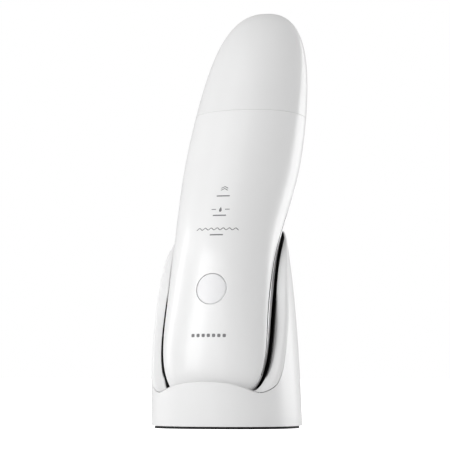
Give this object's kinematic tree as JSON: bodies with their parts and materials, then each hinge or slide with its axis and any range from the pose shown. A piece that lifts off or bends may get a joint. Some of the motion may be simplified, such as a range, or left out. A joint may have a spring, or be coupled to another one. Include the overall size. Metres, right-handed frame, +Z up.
{
  "type": "skin scrubber",
  "caption": "Curved handset with a bent steel scrubbing blade under a pull-off cap, standing upright in a tapered desktop charging dock.",
  "frame": {"origin": "centre of the dock's footprint, on the surface that the dock stands on", "axes": "+Z up, the handset's front (the side with the button) faces -Y, and the object is symmetric about the plane X = 0"},
  "size_m": [0.0606, 0.0805, 0.1743],
  "materials": {
    "white_gloss": "smooth glossy white moulded plastic",
    "white_satin": "satin white moulded plastic",
    "button_white": "smooth white plastic, a little softer than the shell",
    "chrome": "bright plated metal",
    "steel": "plain stainless steel, fine grain",
    "brass": "gold-coloured contact plating",
    "aluminium": "turned aluminium",
    "ceramic": null,
    "black_rubber": "soft matte black rubber",
    "black_plastic": "moulded black plastic",
    "circuit_board": "green solder mask",
    "battery_wrap": "grey shrink wrap over a pouch cell",
    "led_lens": "clear moulded lens"
  },
  "bodies": {
    "dock": {"dock_shell": "white_gloss", "dock_cradle": "white_satin", "dock_base_plate": "white_satin", "dock_foot_pad": "black_rubber", "dock_board": "circuit_board", "usb_socket": "chrome", "usb_tongue": "black_plastic", "ballast_left": "steel", "ballast_right": "steel", "contact_barrel_left": "brass", "contact_barrel_right": "brass", "contact_spring_left": "steel", "contact_spring_right": "steel", "base_screw_1": "steel", "base_screw_2": "steel", "base_screw_3": "steel", "base_screw_4": "steel"},
    "contact_left": {"contact_plunger_left": "brass"},
    "contact_right": {"contact_plunger_right": "brass"},
    "handset": {"front_shell": "white_gloss", "rear_shell": "white_gloss", "side_electrode_left": "chrome", "side_electrode_right": "chrome", "shell_screw_1": "steel", "shell_screw_2": "steel", "shell_screw_3": "steel", "shell_screw_4": "steel", "charge_contact_left": "brass", "charge_contact_right": "brass", "main_board": "circuit_board", "control_chip": "black_plastic", "step_up_transformer": "black_plastic", "battery": "battery_wrap", "indicator_board": "circuit_board", "mode_led_1": "led_lens", "mode_led_2": "led_lens", "mode_led_3": "led_lens", "tact_switch": "steel", "neck_collar": "white_satin", "blade": "steel", "blade_seal": "black_rubber", "transducer_horn": "aluminium", "transducer_back_mass": "steel", "transducer_bolt": "steel", "transducer_damper": "black_rubber", "transducer_holder": "white_satin", "piezo_ring_front": "ceramic", "piezo_ring_back": "ceramic", "piezo_electrode": "brass"},
    "button": {"power_button": "button_white", "switch_plunger": "black_plastic"},
    "cap": {"cap": "white_gloss"}
  },
  "joints": [
    {"name": "handset_lift", "type": "slide", "parent": "dock", "child": "handset", "axis": [0, 0.2419, 0.9703], "range_m": [0, 0.09]},
    {"name": "cap_pull", "type": "slide", "parent": "handset", "child": "cap", "axis": [0, 0.4462, 0.8949], "range_m": [0, 0.05]},
    {"name": "button_press", "type": "slide", "parent": "handset", "child": "button", "axis": [0, 0.9787, -0.2052], "range_m": [0, 0.0006], "stiffness_N_per_m": 800},
    {"name": "contact_left_press", "type": "slide", "parent": "dock", "child": "contact_left", "axis": [0, 0, 1], "range_m": [-0.0008, 0], "stiffness_N_per_m": 200, "deforming": ["contact_spring_left"]},
    {"name": "contact_right_press", "type": "slide", "parent": "dock", "child": "contact_right", "axis": [0, 0, 1], "range_m": [-0.0008, 0], "stiffness_N_per_m": 200, "deforming": ["contact_spring_right"]}
  ]
}
